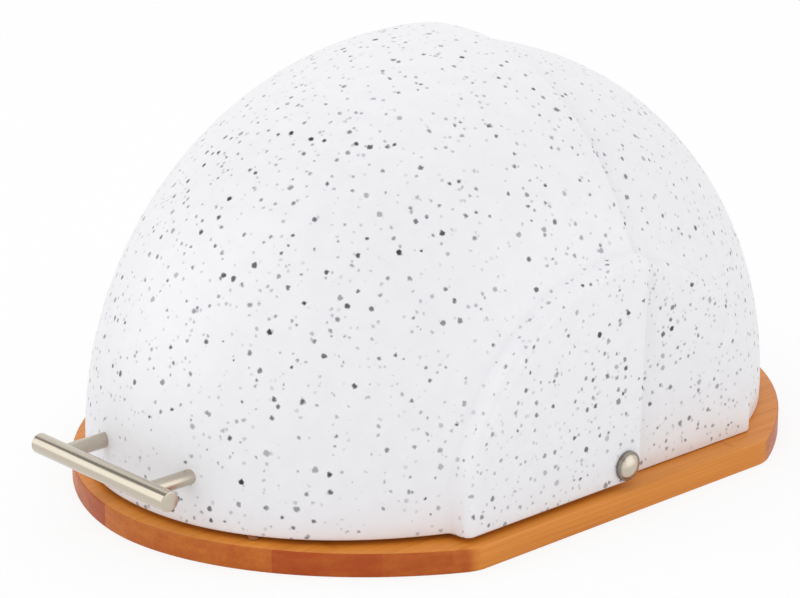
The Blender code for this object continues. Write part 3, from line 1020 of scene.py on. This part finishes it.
@dataclass(frozen=True)
class Handle:
    """The handle: a round bar on two posts, held by screws from inside the lid."""

    radius: float = 0.005
    edge: float = 0.0007
    bar_steps: int = 96
    bore_radius: float = 0.0018
    thread_radius: float = 0.00152
    fit: float = 0.00002
    lid: DomedShell = FrontLid.shell
    screw: Screw = Screw(
        head_radius=0.0032, head_height=0.0024, shank_radius=0.0015, rim=0.0004, recess=0.0034
    )

    def bore(self) -> Shape:
        """Makes the cutter of both screws' holes in the lid."""
        return joined([self.drill(side, self.bore_radius, PAST_HEAD, 0) for side, _ in SIDES])

    def drill(self, side: str, radius: float, past_head: float, past_tip: float) -> Shape:
        """Makes the cutter of one screw's hole or thread."""
        low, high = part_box(f"handle_screw_{side}")
        x, z = (low.x + high.x) / 2, (low.z + high.z) / 2
        return rod(radius, (x, high.y + past_head, z), (x, low.y - past_tip, z), BORE_STEPS)

    def build(self) -> None:
        """Builds the bar, the posts, their saddle washers and their screws."""
        low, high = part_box("handle_bar")
        y, z = (low.y + high.y) / 2, (low.z + high.z) / 2
        length = high.x - low.x
        profile = ((0, 0), (self.radius, 0), (self.radius, length), (0, length))
        edges = {1: self.edge, 2: self.edge}
        bar = turned(profile, (low.x, y, z), ALONG_X, edges, self.bar_steps)
        show("handle_round_bar", bar, SATIN_NICKEL, Body.LID, "handle_bar")
        for side, _ in SIDES:
            self.build_post(side, (low.x, y, z), (high.x, y, z))
            self.build_saddle(side)
            self.build_screw(side)

    def build_post(self, side: str, bar_start: Point, bar_end: Point) -> None:
        """Builds one post, hollowed to the bar at one end and to the lid at the other."""
        node = f"handle_post_{side}"
        low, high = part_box(node)
        x, z = (low.x + high.x) / 2, (low.z + high.z) / 2
        shape = rod((high.x - low.x) / 2, (x, bar_start[1], z), (x, high.y, z))
        shape = combined(shape, rod(self.radius + self.fit, bar_start, bar_end, self.bar_steps))
        shape = combined(shape, self.lid.form(-self.fit))
        shape = combined(shape, self.drill(side, self.thread_radius, 0, self.fit))
        show(f"handle_round_post_{side}", shape, SATIN_NICKEL, Body.LID, node)

    def build_saddle(self, side: str) -> None:
        """Builds one saddle washer, flat under the screw's head and hollowed to the lid's inside."""
        node = f"handle_washer_{side}"
        low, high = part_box(node)
        x, z = (low.x + high.x) / 2, (low.z + high.z) / 2
        shape = rod((high.x - low.x) / 2, (x, high.y, z), (x, low.y - self.radius, z))
        shape = combined(shape, self.lid.form(self.lid.sheet + self.fit), "INTERSECT")
        shape = combined(shape, self.drill(side, self.thread_radius, 0, self.fit))
        show(f"handle_saddle_{side}", shape, NYLON, Body.LID, node)

    def build_screw(self, side: str) -> None:
        """Builds one of the screws that hold the posts."""
        node = f"handle_screw_{side}"
        low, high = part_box(node)
        seat = high.y - self.screw.head_height
        place = ((low.x + high.x) / 2, seat, (low.z + high.z) / 2)
        shape = self.screw.build(place, ALONG_Y, seat - low.y)
        show(f"{node}_cross", shape, ZINC, Body.LID, node)


@dataclass(frozen=True)
class Fixings:
    """The four screws through the rear shell's flange, and the two bumpers under the lid's hem."""

    bore_radius: float = 0.0021
    bumper_top: float = 0.86
    bumper_round: float = 0.4
    bumper_steps: int = 48
    screw: Screw = Screw(
        head_radius=0.0036, head_height=0.0022, shank_radius=0.0018, rim=0.0003, recess=0.0038
    )

    def bore(self) -> Shape:
        """Makes the cutter of the four screws' holes."""
        bores = []
        for node in SHELL_SCREWS:
            low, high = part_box(node)
            x, y = (low.x + high.x) / 2, (low.y + high.y) / 2
            end = (x, y, high.z + PAST_HEAD)
            bores.append(rod(self.bore_radius, (x, y, low.z), end, BORE_STEPS))
        return joined(bores)

    def build(self) -> None:
        """Builds the screws and the bumpers."""
        for node in SHELL_SCREWS:
            low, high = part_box(node)
            seat = high.z - self.screw.head_height
            place = ((low.x + high.x) / 2, (low.y + high.y) / 2, seat)
            shape = self.screw.build(place, ALONG_Z, seat - low.z)
            show(f"{node}_cross", shape, ZINC, Body.BASE, node)
        for side, _ in SIDES:
            self.bumper(f"bumper_{side}")

    def bumper(self, node: str) -> None:
        """Builds a low round bumper with a soft top edge."""
        low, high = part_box(node)
        radius, height = (high.x - low.x) / 2, high.z - low.z
        profile = ((0, 0), (radius, 0), (radius * self.bumper_top, height), (0, height))
        place = ((low.x + high.x) / 2, (low.y + high.y) / 2, low.z)
        shape = turned(profile, place, ALONG_Z, {2: height * self.bumper_round}, self.bumper_steps)
        show(f"{node}_dot", shape, SILICONE, Body.BASE, node)


@dataclass(frozen=True)
class Lamp:
    """A soft box: where it stands, how large it is and how strong."""

    name: str
    place: Point
    size: float
    watts: float


@dataclass(frozen=True)
class Card:
    """A card that only the gloss sees: where it stands, where it faces, its size and its brightness."""

    name: str
    place: Point
    aim: Point
    width: float
    height: float
    glow: float


@dataclass(frozen=True)
class Studio:
    """A pale floor, soft boxes, cards for the metal's gloss, a white surround and the camera."""

    target: Point = (0.0025, -0.0280, 0.0813)
    azimuth: float = radians(47.54)
    elevation: float = radians(19.02)
    distance: float = 1.614
    lens: float = 145.5
    sensor: float = 36
    farthest: float = 50
    floor_size: float = 12.0
    floor_colour: str = "EDEDED"
    floor_roughness: float = 0.9
    floor_gloss: float = 0.1
    floor_white: float = 1.03
    floor_glow: float = 0.82
    surround: float = 0.93
    lamps: tuple[Lamp, ...] = (
        Lamp("key_box", (-0.9, -1.5, 1.9), 1.2, 5.0),
        Lamp("side_box", (2.1, -0.6, 0.7), 0.8, 0.6),
    )
    cards: tuple[Card, ...] = (
        Card("dark_overhead", (0.0, -0.58, 1.49), (0.0, -0.21, 0.04), 8.0, 0.95, 0.3),
        Card("bright_low_left", (-1.33, -1.51, 0.46), (0.0, -0.21, 0.04), 2.0, 1.4, 1.6),
        Card("bright_floor_right", (0.72, 0.3, 0.002), (0.72, 0.3, 1.0), 0.9, 0.9, 1.5),
        Card("bright_low_rear", (1.85, 0.85, 0.75), (0.134, 0.0, 0.75), 2.2, 1.6, 1.6),
    )

    def build(self) -> None:
        """Sets up the floor, the lamps, the cards, the surround and the camera."""
        self.build_floor()
        for lamp in self.lamps:
            self.build_lamp(lamp)
        for card in self.cards:
            self.build_card(card)
        self.build_surround()
        self.build_camera()
        bpy.context.scene.view_settings.view_transform = "Standard"

    def build_floor(self) -> None:
        """Lays the floor, which shows as white and keeps a soft shadow."""
        shape = bmesh.new()
        bmesh.ops.create_grid(shape, x_segments=1, y_segments=1, size=self.floor_size / 2)
        made = bpy.data.materials.new("pale_floor")
        graph = Graph(made)
        shader = graph.tree.nodes["Principled BSDF"]
        shader.inputs["Base Color"].default_value = linear(self.floor_colour)
        shader.inputs["Roughness"].default_value = self.floor_roughness
        shader.inputs["Specular IOR Level"].default_value = self.floor_gloss
        glow = graph.add("Emission", {"Color": WHITE, "Strength": self.floor_white}).outputs[0]
        share = graph.math("MULTIPLY", self.seen(graph), self.floor_glow)
        mixed = graph.add("MixShader", {0: share, 1: shader.outputs[0], 2: glow}).outputs[0]
        graph.link(mixed, graph.tree.nodes["Material Output"], "Surface")
        floor = placed("floor", shape)
        floor.data.materials.append(made)

    def seen(self, graph: Graph) -> Socket:
        """Gives 1 for what the camera sees straight, mirrored or through glass."""
        path = graph.add("LightPath").outputs
        either = graph.math("MAXIMUM", path["Is Camera Ray"], path["Is Glossy Ray"])
        return graph.math("MAXIMUM", either, path["Is Transmission Ray"])

    def build_lamp(self, lamp: Lamp) -> None:
        """Sets up one soft box, turned towards the box."""
        data = bpy.data.lights.new(lamp.name, "AREA")
        data.shape = "SQUARE"
        data.size = lamp.size
        data.energy = lamp.watts
        place = Vector(lamp.place)
        self.stand(bpy.data.objects.new(lamp.name, data), place, place - Vector(self.target))

    def build_card(self, card: Card) -> None:
        """Hangs a card, turned towards what it shows in."""
        shape = bmesh.new()
        bmesh.ops.create_grid(shape, x_segments=1, y_segments=1, size=0.5)
        bmesh.ops.scale(shape, vec=(card.width, card.height, 1), verts=shape.verts[:])
        move(shape, card.place, Vector(card.place) - Vector(card.aim))
        made = bpy.data.materials.new(card.name)
        graph = Graph(made)
        glow = graph.add("Emission", {"Color": WHITE, "Strength": card.glow}).outputs[0]
        graph.link(glow, graph.tree.nodes["Material Output"], "Surface")
        item = placed(card.name, shape)
        item.data.materials.append(made)
        for ray in ("camera", "diffuse", "transmission", "shadow"):
            setattr(item, f"visible_{ray}", False)

    def build_surround(self) -> None:
        """Lights the scene evenly, and shows white behind it."""
        world = bpy.data.worlds.new("surround")
        graph = Graph(world)
        ground = graph.tree.nodes["Background"]
        ground.inputs["Color"].default_value = WHITE
        graph.link(graph.ramp(self.seen(graph), results=(self.surround, 1.0)), ground, "Strength")
        world.cycles.sampling_method = "NONE"
        bpy.context.scene.world = world

    def build_camera(self) -> None:
        """Places the camera where the photograph was taken from."""
        data = bpy.data.cameras.new("camera")
        data.lens = self.lens
        data.sensor_width = self.sensor
        data.clip_end = self.farthest
        camera = bpy.data.objects.new("camera", data)
        level, rise = cos(self.elevation), sin(self.elevation)
        away = Vector((sin(self.azimuth) * level, -cos(self.azimuth) * level, rise))
        self.stand(camera, Vector(self.target) + away * self.distance, away)
        bpy.context.scene.camera = camera

    def stand(self, item: Item, place: Vector, away: Vector) -> None:
        """Puts a lamp or the camera in its place, with its back to a direction."""
        item.location = place
        item.rotation_euler = away.to_track_quat("Z", "Y").to_euler()
        bpy.context.scene.collection.objects.link(item)


def main() -> None:
    """Builds the studio and each sub-assembly in order."""
    logging.basicConfig(level=logging.INFO, format="%(message)s")
    Studio().build()
    pivots = Pivots()
    handle = Handle()
    fixings = Fixings()
    Board().build(fixings.bore())
    RearShell().build(joined((pivots.bore(), fixings.bore())))
    FrontLid().build(joined((pivots.bore(), handle.bore())))
    pivots.build()
    handle.build()
    fixings.build()


if __name__ == "__main__":
    main()
